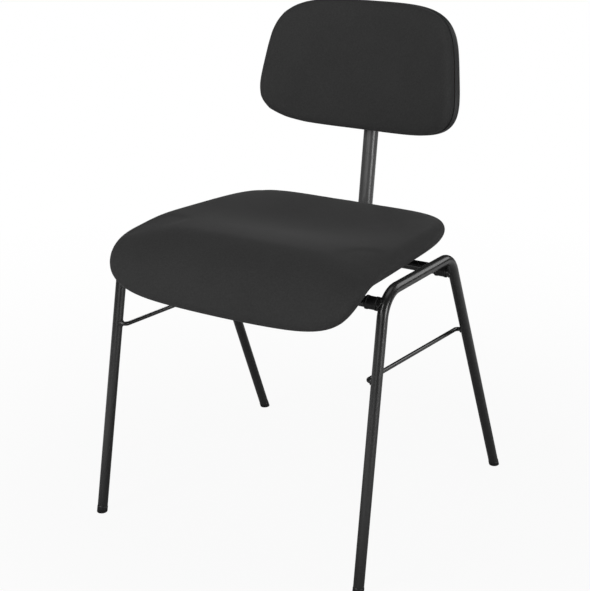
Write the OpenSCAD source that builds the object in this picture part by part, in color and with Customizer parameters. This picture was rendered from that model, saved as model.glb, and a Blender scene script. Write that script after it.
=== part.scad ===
// Stacking choir chair: two bent tube side frames, a padded seat with a
// rolled front edge, and a wrapped backrest carried on a single post.
// Millimetres. The origin is on the floor under the middle of the chair.
// +Z is up, the front of the chair faces -Y, and right is +X, as a viewer in
// front of the chair sees it.

/* [Frame] */
// Outer diameter of the leg and cross tubes
tube_d = 16; // [14:0.5:20]
// Wall of the leg and cross tubes
tube_wall = 1.6; // [1:0.1:2.5]
// Centre-line radius of the two bends in each side frame
frame_bend_r = 41; // [34:1:50]
// Distance between the centre-lines of the two top rails
rail_spacing = 451; // [420:1:480]
// Distance between the centres of the left and right feet on the floor
foot_spacing = 467; // [452:1:510]
// Height of the front corner of the side frame, where its centre-lines cross
front_corner_h = 430; // [410:1:460]
// Height of the rear corner of the side frame, where its centre-lines cross
rear_corner_h = 426; // [400:1:430]
// Distance from the front corner to the rear corner, along the floor
rail_run = 210; // [190:1:240]
// How far the front foot stands ahead of the front corner
front_leg_rake = 75.5; // [50:0.5:100]
// How far the rear foot stands behind the rear corner
rear_leg_rake = 196.5; // [170:0.5:220]
// Distance of the front corner ahead of the middle of the chair
front_corner_ahead = 165.4; // [150:0.1:180]

/* [Braces] */
// Diameter of the brace rod between the legs of a side frame
brace_d = 6.5; // [5:0.5:8]
// Distance from the leg's centre-line inwards to the rod's centre-line
brace_offset = 15.6; // [14:0.1:20]
// Centre-line radius of the small bend at each end of the rod
brace_bend_r = 7.5; // [6:0.5:9]

/* [Glides and bumpers] */
// Length of a glide's head between the floor and the end of its tube
glide_head_h = 11; // [8:0.5:16]
// How much wider a glide's head is than its tube
glide_lip = 0.8; // [0.2:0.1:2]
// Length of the plug on a glide or an end cap
plug_len = 22; // [14:1:30]
// Length of a stacking bumper along its cross tube
bumper_len = 19; // [14:1:30]
// Wall of a stacking bumper
bumper_wall = 2.1; // [1.5:0.1:3.5]
// Gap between a bumper and the leg beside it
bumper_gap = 2; // [1:0.5:5]

/* [Back post] */
// Outer diameter of the back post
post_d = 24; // [20:0.5:28]
// Wall of the back post
post_wall = 2; // [1.5:0.1:3]
// Centre-line radius of the bend behind the seat
post_bend_r = 70; // [60:1:80]
// Lean of the post and the backrest from the vertical, in degrees
post_lean = 7.5; // [4:0.5:12]
// Distance from the rear cross tube back to the post's corner
post_setback = 127; // [115:1:150]
// Length of the post ahead of the front cross tube
post_front_reach = 13; // [10:1:24]
// Length of the post above the middle of the backrest
post_top_reach = 62; // [50:1:70]

/* [Seat] */
// Width of the seat at its rear edge, before its corners are rounded
seat_rear_w = 381; // [350:1:400]
// Width of the seat at its front edge, before its corners are rounded
seat_front_w = 447; // [410:1:450]
// Thickness of the seat at its edge
seat_t = 37.6; // [34:0.2:42]
// Length of the flat part of the seat, from its rear edge to the front roll
seat_flat_len = 310; // [290:1:330]
// Centre-line radius of the front roll
seat_roll_r = 74; // [60:1:85]
// Angle through which the front edge rolls down, in degrees
seat_roll_angle = 70; // [50:1:85]
// Length of the straight lip below the front roll
seat_lip_len = 31; // [20:1:45]
// Distance from the rear cross tube's middle back to the seat's rear edge
seat_overhang = 96; // [80:1:105]
// Height of the spacers on the front cross tube, from the tube to the seat
front_spacer_h = 9.8; // [8:0.1:14]
// Height of the spacers on the rear cross tube, from the tube to the seat
rear_spacer_h = 17; // [13:0.1:21]
// Radius of the seat's soft upper edge
seat_edge_r = 15; // [10:0.5:18]
// Radius of the seat's lower edge
seat_under_r = 7.5; // [6:0.5:12]
// How far the seat's sides draw in from the upper edge to the lower one
seat_draft = 13; // [9:0.5:15]
// How far the front edge bows out ahead of its corners
seat_front_bow = 9; // [0:0.5:12]
// How far the top of the cushion stands proud of its edge
seat_crown = 2; // [0:0.5:5]
// How far the middle of the seat is dished below its edge
seat_dish = 5; // [0:0.5:9]
// How far the side edges fall away where the front roll begins
seat_shoulder_drop = 11; // [0:0.5:13]
// Thickness of the moulded seat board
seat_board_t = 12; // [9:0.5:14]
// Thickness of the cover under the seat
seat_cover_t = 2; // [1.5:0.1:3]
// Distance from the seat's outline in to the edge of its board
seat_board_inset = 24; // [22:1:30]

/* [Backrest] */
// Half of the backrest's width at mid height, before rounding
back_half_w = 177; // [160:1:190]
// Half of the backrest's height
back_half_h = 102.8; // [90:0.2:115]
// Thickness of the backrest
back_t = 27; // [25:0.1:34]
// Radius of the wrap around the sitter's back
back_wrap_r = 376; // [330:1:480]
// Distance along the post from its corner up to the middle of the backrest
back_up = 299; // [288:1:316]
// Radius of the cushion's soft front edge
back_edge_r = 12; // [7:0.5:12.5]
// Thickness of the moulded back board
back_board_t = 9; // [7:0.5:10]
// Wall of the rear shell
shell_wall = 2.5; // [2:0.1:3.5]
// How far the middle of the back cushion stands proud of its edge
back_crown = 3; // [0:0.5:6]

/* [Fasteners] */
// Nominal diameter of the screws
screw_d = 6; // [5:0.5:7]
// Distance between the left and right seat screws
seat_screw_spacing = 232; // [210:1:280]
// Distance between the left and right back screws
back_screw_spacing = 60; // [50:1:64]
// Distance between the upper and lower back screws
back_screw_rise = 74; // [64:1:84]
// Width of the steel plate on the post
plate_w = 84; // [80:1:88]
// Height of the steel plate on the post
plate_h = 96; // [88:1:104]
// Thickness of the steel plate on the post
plate_t = 3.5; // [2.5:0.1:5]

/* [Hidden] */

$fn = 64;
// Overrun that carries a cut past the face it opens
over = 1;
// Clear distance between a soft piece and what it lies against
soft_gap = 0.3;
// Clear distance round a plug, a screw or a board in its hole, and from the
// end of a cross tube to the middle of the side tube that closes it
fit_gap = 0.2;

// How far a straight run reaches into a bend, and how much fuller a bend is
bend_lap = 0.3;
bend_swell = 0.08;

// Side frame, in its own plane: y runs back along the floor, z up the plane
tube_r = tube_d / 2;
bore_r = tube_r - tube_wall;
splay = asin((foot_spacing - rail_spacing) / 2 / front_corner_h);
front_corner_y = -front_corner_ahead;
rear_corner_y = front_corner_y + rail_run;
front_foot = [front_corner_y - front_leg_rake, 0];
front_corner = [front_corner_y, front_corner_h];
rear_corner = [rear_corner_y, rear_corner_h];
rear_foot = [rear_corner_y + rear_leg_rake, 0];
front_leg_angle = angle_to(front_foot, front_corner);
rail_angle = angle_to(front_corner, rear_corner);
rear_leg_angle = angle_to(rear_foot, rear_corner);

// The rear cross tube meets its frame just below the rear bend
rear_turn = rail_angle + 180 - rear_leg_angle;
rear_cross_below = 5;
rear_cross = lift(rear_corner - (tangent(rear_turn, frame_bend_r) + rear_cross_below) * unit(rear_leg_angle));

// The front cross tube meets its frame part way round the front bend, or as
// far back along the rail as the flat part of the seat needs
front_cross_share = 1 / 3;
seat_roll_reach = 8;
front_bend_start = front_corner - tangent(front_leg_angle - rail_angle, frame_bend_r) * unit(front_leg_angle);
front_bend_centre = front_bend_start + frame_bend_r * unit(front_leg_angle - 90);
front_cross_angle = front_leg_angle + 90 - front_cross_share * (front_leg_angle - rail_angle);
in_bend = front_bend_centre + frame_bend_r * unit(front_cross_angle);
under_seat_y = rear_cross[0] + seat_overhang - seat_flat_len - seat_roll_reach;
front_cross = lift(under_seat_y > in_bend[0] ? [under_seat_y, rail_height(under_seat_y)] : in_bend);
cross_gap = norm(rear_cross - front_cross);
cross_angle = angle_to(rear_cross, front_cross);

// Brace rods meet the legs at these shares of the corner heights
brace_front_share = 0.713;
brace_rear_share = 0.677;

// The seat's flat underside lies on the spacers, so they set its slope
seat_slope = 180 - cross_angle + asin((front_spacer_h - rear_spacer_h) / cross_gap);
seat_under = seat_t / 2;
seat_rear = rear_cross + (tube_r + rear_spacer_h + seat_under) * [sin(seat_slope), cos(seat_slope)]
            + seat_overhang * [cos(seat_slope), -sin(seat_slope)];
seat_roll_len = seat_roll_r * seat_roll_angle * PI / 180;
seat_len = seat_flat_len + seat_roll_len + seat_lip_len;
front_screw_y = -seat_overhang - cross_gap * cos(asin((front_spacer_h - rear_spacer_h) / cross_gap));
rear_screw_y = -seat_overhang;
front_tube_z = -seat_under - front_spacer_h - tube_r;
rear_tube_z = -seat_under - rear_spacer_h - tube_r;

// The post's lower run lies under both cross tubes
post_r = post_d / 2;
run_drop = (tube_r + post_r) * unit(cross_angle + 90);
run_rear = rear_cross + run_drop;
run_front = front_cross + run_drop;
post_corner = run_rear - post_setback * unit(cross_angle);
post_angle = 90 - post_lean;
post_front_end = run_front + post_front_reach * unit(cross_angle);
post_top_end = post_corner + (back_up + post_top_reach) * unit(post_angle);
back_mid = post_corner + back_up * unit(post_angle)
           - (post_r + plate_t + back_t / 2) * [cos(post_lean), -sin(post_lean)];

function unit(a) = [cos(a), sin(a)];
function angle_to(p, q) = atan2(q[1] - p[1], q[0] - p[0]);
function tangent(turn, r) = r * tan(abs(turn) / 2);
// A place in a side frame's tilted plane, as it stands over the floor
function lift(p) = [p[0], p[1] * cos(splay)];
// Height of the side frame's centre-line behind the start of the front bend
function rail_height(y) =
    let (ahead = front_bend_centre[0] - y, bend_end = frame_bend_r * unit(rail_angle + 90)[0])
    ahead > -bend_end ? front_bend_centre[1] + sqrt(pow(frame_bend_r, 2) - pow(ahead, 2))
                      : front_corner_h + (y - front_corner_y) * tan(rail_angle);
function turn_at(points, i) =
    let (a = angle_to(points[i], points[i + 1]) - angle_to(points[i - 1], points[i]))
    a > 180 ? a - 360 : a < -180 ? a + 360 : a;
function trim_at(points, i, r) =
    i == 0 || i == len(points) - 1 ? 0 : tangent(turn_at(points, i), r);

// Round section of a bar, or of a tube where it has a bore
module section(d, bore) {
    difference() {
        circle(d = d);
        if (bore > 0) circle(d = bore);
    }
}

// Bar or tube along points in the YZ plane, bent to radius r at each corner.
// The bends are a hair fuller than the straight runs, which end inside them
module bent_tube(points, r, d, bore) {
    last = len(points) - 1;
    for (i = [0 : last - 1]) {
        a = angle_to(points[i], points[i + 1]);
        lap_in = i == 0 ? 0 : bend_lap;
        lap_out = i == last - 1 ? 0 : bend_lap;
        start = points[i] + (trim_at(points, i, r) - lap_in) * unit(a);
        run = norm(points[i + 1] - points[i]) - trim_at(points, i, r) - trim_at(points, i + 1, r);
        translate([0, start[0], start[1]]) rotate([a - 90, 0, 0])
            linear_extrude(run + lap_in + lap_out) section(d, bore);
    }
    for (i = [1 : last - 1]) {
        turn = turn_at(points, i);
        a_in = angle_to(points[i - 1], points[i]);
        side = sign(turn);
        centre = points[i] - trim_at(points, i, r) * unit(a_in) + r * unit(a_in + side * 90);
        begin = side > 0 ? a_in - 90 : a_in + turn + 90;
        translate([0, centre[0], centre[1]]) rotate([90, 0, 90]) rotate([0, 0, begin])
            rotate_extrude(angle = abs(turn)) translate([r, 0])
                section(d + 2 * bend_swell, bore - 2 * bend_swell);
    }
}

// Stands children from a side frame's plane over the floor, side 1 or -1
module on_side(side) {
    mirror([side > 0 ? 0 : 1, 0, 0]) translate([foot_spacing / 2, 0, 0]) rotate([0, -splay, 0]) children();
}

module side_frame(side) {
    front_end = front_foot + glide_head_h * unit(front_leg_angle);
    rear_end = rear_foot + glide_head_h * unit(rear_leg_angle);
    color([0.12, 0.12, 0.13]) on_side(side)
        bent_tube([front_end, front_corner, rear_corner, rear_end], frame_bend_r, tube_d, 2 * bore_r);
}

// Solid outline of both side frames, for shaping what is welded to them
module both_frames_solid() {
    for (side = [-1, 1]) on_side(side)
        bent_tube([front_foot, front_corner, rear_corner, rear_foot], frame_bend_r, tube_d, 0);
}

module cross_tube(place, hole_y, tube_z) {
    half = foot_spacing / 2 - place[1] * tan(splay) - tube_r * tan(abs(splay)) - fit_gap;
    color([0.12, 0.12, 0.13]) difference() {
        translate([-half, place[0], place[1]]) rotate([0, 90, 0]) cylinder(h = 2 * half, d = tube_d);
        translate([-half - over, place[0], place[1]]) rotate([0, 90, 0])
            cylinder(h = 2 * (half + over), r = bore_r);
        both_frames_solid();
        for (side = [-1, 1]) in_seat() translate([side * seat_screw_spacing / 2, hole_y, tube_z - tube_d])
            cylinder(h = 2 * tube_d, d = screw_d + 2 * fit_gap);
    }
}

module brace_rod(side) {
    front_at = front_foot + brace_front_share * (front_corner - front_foot);
    rear_at = rear_foot + brace_rear_share * (rear_corner - rear_foot);
    run = norm(rear_at - front_at);
    slope = angle_to(front_at, rear_at);
    color([0.12, 0.12, 0.13]) difference() {
        on_side(side) translate([-brace_offset, front_at[0], front_at[1]])
            rotate([slope, 0, 0]) rotate([0, 90, 0])
            bent_tube([[0, brace_offset], [0, 0], [run, 0], [run, brace_offset]], brace_bend_r, brace_d, 0);
        both_frames_solid();
    }
}

module glide(side, foot, a) {
    head_d = tube_d + glide_lip;
    color([0.05, 0.05, 0.05]) intersection() {
        on_side(side) translate([0, foot[0], foot[1]]) rotate([a - 90, 0, 0]) {
            translate([0, 0, -tube_d]) cylinder(h = tube_d + glide_head_h, d = head_d);
            cylinder(h = glide_head_h + plug_len, r = bore_r - fit_gap);
        }
        translate([-foot_spacing, foot[0] - foot_spacing, 0])
            cube([2 * foot_spacing, 2 * foot_spacing, foot_spacing]);
    }
}

// Sleeve on a cross tube, beside the leg, that parts stacked chairs
module bumper(side, place) {
    start = foot_spacing / 2 - place[1] * tan(splay) - tube_r - bumper_gap - bumper_len;
    color([0.06, 0.06, 0.06]) mirror([side > 0 ? 0 : 1, 0, 0]) difference() {
        translate([start, place[0], place[1]]) rotate([0, 90, 0])
            cylinder(h = bumper_len, r = tube_r + bumper_wall);
        translate([start - over, place[0], place[1]]) rotate([0, 90, 0])
            cylinder(h = bumper_len + 2 * over, r = tube_r);
    }
}

module back_post() {
    color([0.2, 0.2, 0.21])
        bent_tube([post_front_end, post_corner, post_top_end], post_bend_r, post_d, post_d - 2 * post_wall);
}

// Cap and plug in an end of the post; a points out of the tube
module post_plug(place, a) {
    cap_h = post_wall;
    color([0.05, 0.05, 0.05]) translate([0, place[0], place[1]]) rotate([a - 90, 0, 0]) {
        cylinder(h = cap_h, d = post_d);
        translate([0, 0, -plug_len]) cylinder(h = plug_len, r = post_r - post_wall - fit_gap);
    }
}

// Seat frame of reference: origin at the middle of the rear edge, at half
// thickness; the flat part runs towards -Y
module in_seat() {
    translate([0, seat_rear[0], seat_rear[1]]) rotate([-seat_slope, 0, 0]) children();
}

// Block between a cross tube and the seat, hollowed to sit on the tube, with
// its top shaped to the underside of the seat where the front roll begins
module spacer(side, at_y, tube_z) {
    block_w = 2 * tube_d;
    block_d = tube_d + 2 * tube_wall + screw_d / 2;
    wrap = tube_r / 2;
    color([0.05, 0.05, 0.05]) in_seat() difference() {
        translate([side * seat_screw_spacing / 2, at_y, 0]) difference() {
            translate([-block_w / 2, -block_d / 2, tube_z + wrap])
                cube([block_w, block_d, -seat_under - tube_z - wrap]);
            translate([-block_w / 2 - over, 0, tube_z]) rotate([0, 90, 0])
                cylinder(h = block_w + 2 * over, d = tube_d);
            translate([0, 0, tube_z]) cylinder(h = -tube_z, d = screw_d + 2 * fit_gap);
        }
        seat_layer(seat_board_top, -seat_under);
    }
}

// Grid cells across and along each padded form
cells = 18;
// How square the seat's and the backrest's outlines are
seat_squareness = 6;
back_squareness = 3.9;
function squircle(a, b, n) =
    let (m = max(abs(a), abs(b)))
    m == 0 ? [0, 0] : [a, b] * pow(pow(abs(a) / m, n) + pow(abs(b) / m, n), -1 / n);

// Rises from 0 at the edges of a form to 1 over its middle
function swell(t) = 1 - pow(t, 4);

// Where the seat's middle layer is at a distance s in from its rear edge,
// raised by h: flat, then round the front roll, then down the lip
function seat_at(x, s, h) =
    let (turned = min(max(s - seat_flat_len, 0) / seat_roll_len, 1) * seat_roll_angle,
         lip = max(s - seat_flat_len - seat_roll_len, 0),
         flat = min(s, seat_flat_len))
    [x,
     -flat - (seat_roll_r + h) * sin(turned) - lip * cos(turned),
     h - (seat_roll_r + h) * (1 - cos(turned)) - lip * sin(turned)];
function seat_half_w(s) = (seat_rear_w + (seat_front_w - seat_rear_w) * s / seat_len) / 2;
// The shoulders of the seat: where along it they are lowest and how far they
// spread, and how steeply they fall towards the sides
seat_shoulder_ahead = 20;
seat_shoulder_spread = 48;
seat_shoulder_power = 5.5;
// Fall of the shoulders, all of it on the seat's top and none below its board
function seat_fall(across, s, h) =
    let (off = (s - seat_flat_len - seat_shoulder_ahead) / seat_shoulder_spread,
         share = max(h - seat_board_top, 0) / (seat_under - seat_board_top))
    seat_shoulder_drop * share * pow(abs(across), seat_shoulder_power) * exp(-off * off);
// A point on the seat for a grid place, an inset from the outline and a height
function seat_point(a, b, inset, h) =
    let (p = squircle(a, b, seat_squareness),
         bow = seat_front_bow * p[0] * p[0] * max(-p[1], 0),
         s = seat_len / 2 - p[1] * (seat_len / 2 - inset) - bow)
    seat_at(p[0] * (seat_half_w(s) - inset), s, h - seat_fall(p[0], s, h));
// Height of the seat's top over its edge: crowned, and dished for the sitter
function seat_relief(a, b) =
    let (s_share = (1 - b) / 2, dish_end_share = seat_flat_len / seat_len,
         dish = seat_dish * (1 - a * a) * pow(sin(180 * min(s_share / dish_end_share, 1)), 2))
    seat_crown * swell(a) * swell(b) - dish;

// Where the backrest's middle layer is at a distance u round its wrap and z
// up, h towards the sitter; its own origin is at its middle
function back_at(u, z, h) =
    let (turned = u / back_wrap_r * 180 / PI)
    [(back_wrap_r - h) * sin(turned), (back_wrap_r - h) * cos(turned) - back_wrap_r, z];
// The backrest narrows upwards, and its long edges bow out a little
back_taper_share = 0.1;
back_bow_share = 0.02;
function back_point(a, b, inset, h) =
    let (p = squircle(a, b, back_squareness),
         u = p[0] * (back_half_w - inset) * (1 - back_taper_share * p[1]),
         z = p[1] * (back_half_h - inset) * (1 - back_bow_share * p[0] * p[0]))
    back_at(u, z, h);
function back_relief(a, b) = back_crown * swell(a) * swell(b);

// The grid places on the rim of the form, in order round it
function rim_place(k) =
    let (side = floor(k / cells), t = 2 * (k % cells) / cells - 1)
    side == 0 ? [t, -1] : side == 1 ? [1, t] : side == 2 ? [-t, 1] : [-1, -t];
function rim_index(k) =
    let (side = floor(k / cells), t = k % cells)
    side == 0 ? t : side == 1 ? t * (cells + 1) + cells :
    side == 2 ? cells * (cells + 1) + cells - t : (cells - t) * (cells + 1);

// Two triangles for each cell of the grid that starts at a point index
function grid_faces(first, flip) =
    [for (j = [0 : cells - 1]) for (i = [0 : cells - 1])
        let (p = first + j * (cells + 1) + i, q = p + 1, r = q + cells + 1, s = p + cells + 1)
        each flip ? [[p, q, r], [p, r, s]] : [[p, r, q], [p, s, r]]];
function ring_faces(upper, lower) =
    let (count = 4 * cells)
    [for (k = [0 : count - 1])
        let (n = (k + 1) % count)
        each [[upper[k], upper[n], lower[n]], [upper[k], lower[n], lower[k]]]];

// Closed form over the grid. edge lists [inset, height] from the upper face,
// round the edge, to the lower face; is_seat chooses the seat or the back
module form(is_seat, edge, relief) {
    last = len(edge) - 1;
    face_size = (cells + 1) * (cells + 1);
    rim_size = 4 * cells;
    function at(a, b, e, up) =
        let (rise = up ? relief * (is_seat ? seat_relief(a, b) : back_relief(a, b)) : 0)
        is_seat ? seat_point(a, b, e[0], e[1] + rise) : back_point(a, b, e[0], e[1] + rise);
    function face_points(e, up) =
        [for (j = [0 : cells]) for (i = [0 : cells]) at(2 * i / cells - 1, 2 * j / cells - 1, e, up)];
    upper = face_points(edge[0], true);
    rims = [for (e = [1 : 1 : last - 1]) for (k = [0 : rim_size - 1])
        let (p = rim_place(k)) at(p[0], p[1], edge[e], false)];
    lower = face_points(edge[last], false);
    lower_first = face_size + (last - 1) * rim_size;
    rings = [for (e = [0 : last]) [for (k = [0 : rim_size - 1])
        e == 0 ? rim_index(k) : e == last ? lower_first + rim_index(k) : face_size + (e - 1) * rim_size + k]];
    polyhedron(points = concat(upper, rims, lower),
               faces = concat(grid_faces(0, false),
                              [for (e = [0 : last - 1]) each ring_faces(rings[e], rings[e + 1])],
                              grid_faces(lower_first, true)));
}

module in_back() {
    translate([0, back_mid[0], back_mid[1]]) rotate([-post_lean, 0, 0]) children();
}

module seat_screw_places(at_z_front, at_z_rear) {
    for (side = [-1, 1]) {
        translate([side * seat_screw_spacing / 2, front_screw_y, at_z_front]) children();
        translate([side * seat_screw_spacing / 2, rear_screw_y, at_z_rear]) children();
    }
}

// Wall of a T-nut's barrel, and width of a washer round its hole
nut_wall = 1;
washer_rim = 3.5;
// Fastener sizes that follow the screw
nut_d = screw_d + 2 * nut_wall;
nut_flange_d = 3 * screw_d;
nut_flange_t = screw_d / 4;
head_d = 2 * screw_d;
head_h = screw_d / 2;
washer_d = screw_d + 2 * washer_rim;
washer_t = screw_d / 5;
counterbore_h = 3 * nut_flange_t;

seat_board_low = -seat_under + seat_cover_t;
seat_board_top = seat_board_low + seat_board_t;

// Layer inside the upholstery, from one height in the seat down to another
module seat_layer(top, low) {
    inset = seat_board_inset + fit_gap;
    form(true, [[inset, top], [inset, low]], 0);
}

module seat_board() {
    color([0.72, 0.56, 0.36]) in_seat() difference() {
        seat_layer(seat_board_top, seat_board_low);
        seat_screw_places(seat_board_low - over, seat_board_low - over)
            cylinder(h = seat_board_t + 2 * over, d = nut_d);
        seat_screw_places(seat_board_top - counterbore_h, seat_board_top - counterbore_h)
            cylinder(h = counterbore_h + over, d = nut_flange_d + 2 * fit_gap);
    }
}

module seat_cover() {
    color([0.08, 0.08, 0.08]) in_seat() difference() {
        seat_layer(seat_board_low, -seat_under);
        seat_screw_places(-seat_under - over, -seat_under - over)
            cylinder(h = seat_cover_t + 2 * over, d = screw_d + 2 * fit_gap);
    }
}

// The upholstery wraps round the board's edge to the cover under it
module seat_cushion() {
    upper = [for (t = [0 : 30 : 90]) [seat_edge_r * (1 - sin(t)), seat_under - seat_edge_r * (1 - cos(t))]];
    lower = [for (t = [0 : 45 : 90])
        [seat_draft + seat_under_r * (1 - cos(t)), -seat_under + seat_under_r * (1 - sin(t))]];
    recess = [[seat_board_inset, -seat_under], [seat_board_inset, seat_board_top + soft_gap]];
    color([0.23, 0.23, 0.24]) in_seat() form(true, concat(upper, lower, recess), 1);
}

module screw(reach) {
    translate([0, 0, -head_h]) cylinder(h = head_h, d = head_d);
    cylinder(h = reach, d = screw_d);
}

module seat_screws() {
    color([0.75, 0.75, 0.77]) in_seat() for (side = [-1, 1]) {
        for (at = [[front_screw_y, front_tube_z], [rear_screw_y, rear_tube_z]]) {
            translate([side * seat_screw_spacing / 2, at[0], at[1] - tube_r - washer_t])
                screw(seat_board_top - counterbore_h - at[1] + tube_r + washer_t);
        }
    }
}

module seat_washers() {
    color([0.8, 0.8, 0.8]) in_seat()
        seat_screw_places(front_tube_z - tube_r - washer_t, rear_tube_z - tube_r - washer_t) washer();
}

module washer() {
    difference() {
        cylinder(h = washer_t, d = washer_d);
        translate([0, 0, -over]) cylinder(h = washer_t + 2 * over, d = screw_d + 2 * fit_gap);
    }
}

// Threaded sleeve with a flange, let into a board from its far side
module t_nut(barrel) {
    difference() {
        union() {
            cylinder(h = nut_flange_t, d = nut_flange_d);
            translate([0, 0, -barrel]) cylinder(h = barrel + nut_flange_t / 2, d = nut_d);
        }
        translate([0, 0, -barrel - over]) cylinder(h = barrel + nut_flange_t + 2 * over, d = screw_d);
    }
}

module seat_t_nuts() {
    barrel = seat_board_t - counterbore_h;
    seat = seat_board_top - counterbore_h;
    color([0.7, 0.7, 0.72]) in_seat() seat_screw_places(seat, seat) t_nut(barrel);
}

module back_plate() {
    color([0.12, 0.12, 0.13]) in_back() translate([0, back_t / 2, 0]) difference() {
        translate([-plate_w / 2, 0, -plate_h / 2]) cube([plate_w, plate_t, plate_h]);
        back_screw_places() translate([0, 0, -over])
            cylinder(h = plate_t + 2 * over, d = screw_d + 2 * fit_gap);
    }
}

// Screw places on the backrest; a child's +Z points back, away from the sitter
module back_screw_places() {
    for (side = [-1, 1]) {
        for (level = [-1, 1]) {
            translate([side * back_screw_spacing / 2, 0, level * back_screw_rise / 2])
                rotate([-90, 0, 0]) children();
        }
    }
}

// Radius of the shell's rear edge, as a multiple of its wall
shell_edge_r = 2 * shell_wall;
back_board_rear = -back_t / 2 + shell_wall;
back_board_front = back_board_rear + back_board_t;

module back_board() {
    inset = shell_wall + 2 * fit_gap;
    color([0.72, 0.56, 0.36]) in_back() difference() {
        form(false, [[inset, back_board_front], [inset, back_board_rear]], 0);
        back_screw_places() translate([0, 0, -back_t]) cylinder(h = 2 * back_t, d = nut_d);
        back_screw_places() translate([0, 0, -back_board_front - back_t])
            cylinder(h = back_t + counterbore_h, d = nut_flange_d + 2 * fit_gap);
    }
}

// Tray behind the board: its rim stands round the board's edge, and a flat
// pad in its middle bears on the steel plate
module back_shell() {
    round_edge = [for (t = [0 : 30 : 90])
        [shell_edge_r * (1 - cos(t)), -back_t / 2 + shell_edge_r * (1 - sin(t))]];
    tray = concat([[shell_wall, back_board_rear], [shell_wall, back_board_front], [0, back_board_front]],
                  round_edge);
    color([0.1, 0.1, 0.1]) in_back() difference() {
        union() {
            form(false, tray, 0);
            translate([-plate_w / 2, -back_board_rear, -plate_h / 2])
                cube([plate_w, shell_wall, plate_h]);
        }
        back_screw_places() translate([0, 0, -back_t]) cylinder(h = 2 * back_t, d = screw_d + 2 * fit_gap);
    }
}

module back_cushion() {
    rear = back_board_front + soft_gap;
    front = back_t / 2;
    arc = [for (t = [0 : 30 : 90]) [back_edge_r * (1 - sin(t)), front - back_edge_r * (1 - cos(t))]];
    seam = [[0, rear + 2 * soft_gap], [shell_wall, rear]];
    color([0.2, 0.2, 0.21]) in_back() form(false, concat(arc, seam), 1);
}

module back_screws() {
    reach = back_t / 2 + plate_t + washer_t + back_board_front - counterbore_h;
    color([0.75, 0.75, 0.77]) in_back() back_screw_places()
        translate([0, 0, back_t / 2 + plate_t + washer_t]) mirror([0, 0, 1]) screw(reach);
}

module back_washers() {
    color([0.8, 0.8, 0.8]) in_back() back_screw_places() translate([0, 0, back_t / 2 + plate_t]) washer();
}

// The barrels end where the curved board's rear face is nearest to them
module back_t_nuts() {
    sag = back_wrap_r - sqrt(pow(back_wrap_r, 2) - pow((back_screw_spacing + nut_d) / 2, 2));
    barrel = back_board_t - counterbore_h - sag;
    color([0.7, 0.7, 0.72]) in_back() back_screw_places()
        translate([0, 0, -back_board_front + counterbore_h]) mirror([0, 0, 1]) t_nut(barrel);
}

side_frame(-1);  // left_side_frame
side_frame(1);  // right_side_frame
cross_tube(front_cross, front_screw_y, front_tube_z);  // front_cross_tube
cross_tube(rear_cross, rear_screw_y, rear_tube_z);  // rear_cross_tube
brace_rod(-1);  // left_brace_rod
brace_rod(1);  // right_brace_rod
back_post();
back_plate();
post_plug(post_front_end, cross_angle);  // post_front_plug
post_plug(post_top_end, post_angle);  // post_top_plug
glide(-1, front_foot, front_leg_angle);  // front_left_glide
glide(1, front_foot, front_leg_angle);  // front_right_glide
glide(-1, rear_foot, rear_leg_angle);  // rear_left_glide
glide(1, rear_foot, rear_leg_angle);  // rear_right_glide
bumper(-1, front_cross);  // front_left_bumper
bumper(1, front_cross);  // front_right_bumper
bumper(-1, rear_cross);  // rear_left_bumper
bumper(1, rear_cross);  // rear_right_bumper
spacer(-1, front_screw_y, front_tube_z);  // front_left_spacer
spacer(1, front_screw_y, front_tube_z);  // front_right_spacer
spacer(-1, rear_screw_y, rear_tube_z);  // rear_left_spacer
spacer(1, rear_screw_y, rear_tube_z);  // rear_right_spacer
seat_board();
seat_cover();
seat_cushion();
seat_screws();
seat_washers();
seat_t_nuts();
back_board();
back_shell();
back_cushion();
back_screws();
back_washers();
back_t_nuts();
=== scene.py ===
from math import asin, atan2, cos, exp, hypot, pi, radians, sin, sqrt, tan, tanh

import bmesh
import bpy
from mathutils import Matrix, Vector


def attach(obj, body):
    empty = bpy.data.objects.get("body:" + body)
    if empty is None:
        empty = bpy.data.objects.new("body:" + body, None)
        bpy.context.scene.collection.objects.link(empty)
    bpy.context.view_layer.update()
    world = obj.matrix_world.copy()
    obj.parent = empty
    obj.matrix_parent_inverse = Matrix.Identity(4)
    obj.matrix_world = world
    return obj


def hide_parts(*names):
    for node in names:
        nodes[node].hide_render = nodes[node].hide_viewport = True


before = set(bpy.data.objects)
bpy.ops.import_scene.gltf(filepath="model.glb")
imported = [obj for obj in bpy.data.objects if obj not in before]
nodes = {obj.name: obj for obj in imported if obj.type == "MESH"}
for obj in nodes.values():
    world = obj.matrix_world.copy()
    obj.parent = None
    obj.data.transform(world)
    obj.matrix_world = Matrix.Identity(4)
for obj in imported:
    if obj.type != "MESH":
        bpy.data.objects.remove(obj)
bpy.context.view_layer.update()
scene = bpy.context.scene
MM = 0.001


# Camera and studio

CAMERA_AT = Vector((1.0250, -1.7052, 1.0389))
CAMERA_AIM = Vector((0.0, -0.0319, 0.3459))
LENS_MM = 81.62

camera = bpy.data.objects.new("camera", bpy.data.cameras.new("camera"))
camera.data.lens = LENS_MM
camera.data.sensor_width = 36
camera.location = CAMERA_AT
camera.rotation_euler = (CAMERA_AIM - CAMERA_AT).to_track_quat("-Z", "Y").to_euler()
scene.collection.objects.link(camera)
scene.camera = camera
scene.view_settings.view_transform = "Standard"


def linear(code):
    """An sRGB hex code as the linear colour that a shader takes."""
    parts = [int(code[i:i + 2], 16) / 255 for i in (1, 3, 5)]
    return tuple(p / 12.92 if p <= 0.04045 else ((p + 0.055) / 1.055) ** 2.4 for p in parts) + (1.0,)


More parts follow.
